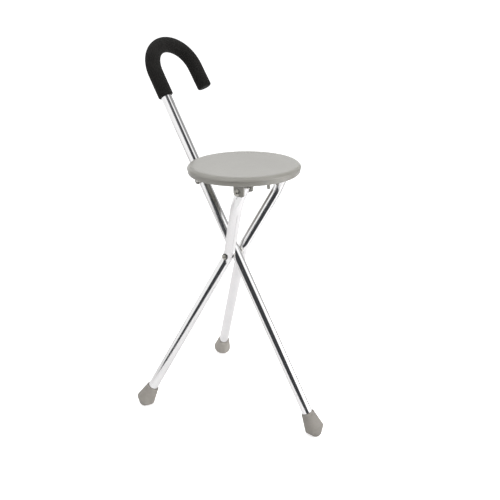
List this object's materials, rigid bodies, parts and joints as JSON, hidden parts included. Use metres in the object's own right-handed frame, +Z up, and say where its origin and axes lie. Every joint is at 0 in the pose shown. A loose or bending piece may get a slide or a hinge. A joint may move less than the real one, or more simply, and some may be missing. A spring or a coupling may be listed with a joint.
{
  "type": "walking stick seat",
  "caption": "Folding walking stick seat: crook-handled tube crossed by bent leg tubes on a pivot bolt, with a round moulded seat hinged on the leg tops.",
  "frame": {"origin": "centre of the bounding box on the ground, under the opened stick seat", "axes": "+Z up; the X-Z plane is the folding plane, the main tube stands on its foot at +X and its crook handle leans to -X; the crook hooks towards +Y"},
  "size_m": [0.4702, 0.3122, 0.7759],
  "materials": {
    "polished_tube": "bright polished anodised",
    "grip_foam": "matte closed-cell foam",
    "seat_moulding": "satin moulded, fine texture",
    "foot_rubber": "matte grey rubber",
    "steel": "zinc plated",
    "rivet_steel": "nickel plated",
    "black_nylon": "matte moulded nylon",
    "white_nylon": "matte moulded nylon"
  },
  "bodies": {
    "legs": {"left_leg_tube": "polished_tube", "right_leg_tube": "polished_tube", "left_foot": "foot_rubber", "right_foot": "foot_rubber", "leg_foot_discs": "steel", "leg_pivot_sleeves": "white_nylon", "pivot_spacers": "white_nylon", "pivot_washers": "black_nylon", "pivot_bolt": "rivet_steel", "pivot_cap_nut": "steel", "hinge_rivets": "rivet_steel", "hinge_washers": "steel", "leg_top_plugs": "white_nylon"},
    "main": {"main_tube": "polished_tube", "handle_grip": "grip_foam", "handle_end_plug": "black_nylon", "main_foot": "foot_rubber", "main_foot_disc": "steel", "pivot_sleeve": "white_nylon", "seat_latch_pin": "steel", "latch_pin_collars": "white_nylon"},
    "seat": {"seat": "seat_moulding"}
  },
  "joints": [
    {"name": "main_fold", "type": "hinge", "parent": "legs", "child": "main", "pos_m": [0.011, 0, 0.366], "axis": [0, 1, 0], "range_deg": [0, 54.1]},
    {"name": "seat_flip", "type": "hinge", "parent": "legs", "child": "seat", "pos_m": [0.0797, 0, 0.52401], "axis": [0, 1, 0], "range_deg": [0, 113.5]}
  ],
  "couplings": [
    {"joint": "seat_flip", "follows": "main_fold", "ratio": 2.098}
  ]
}
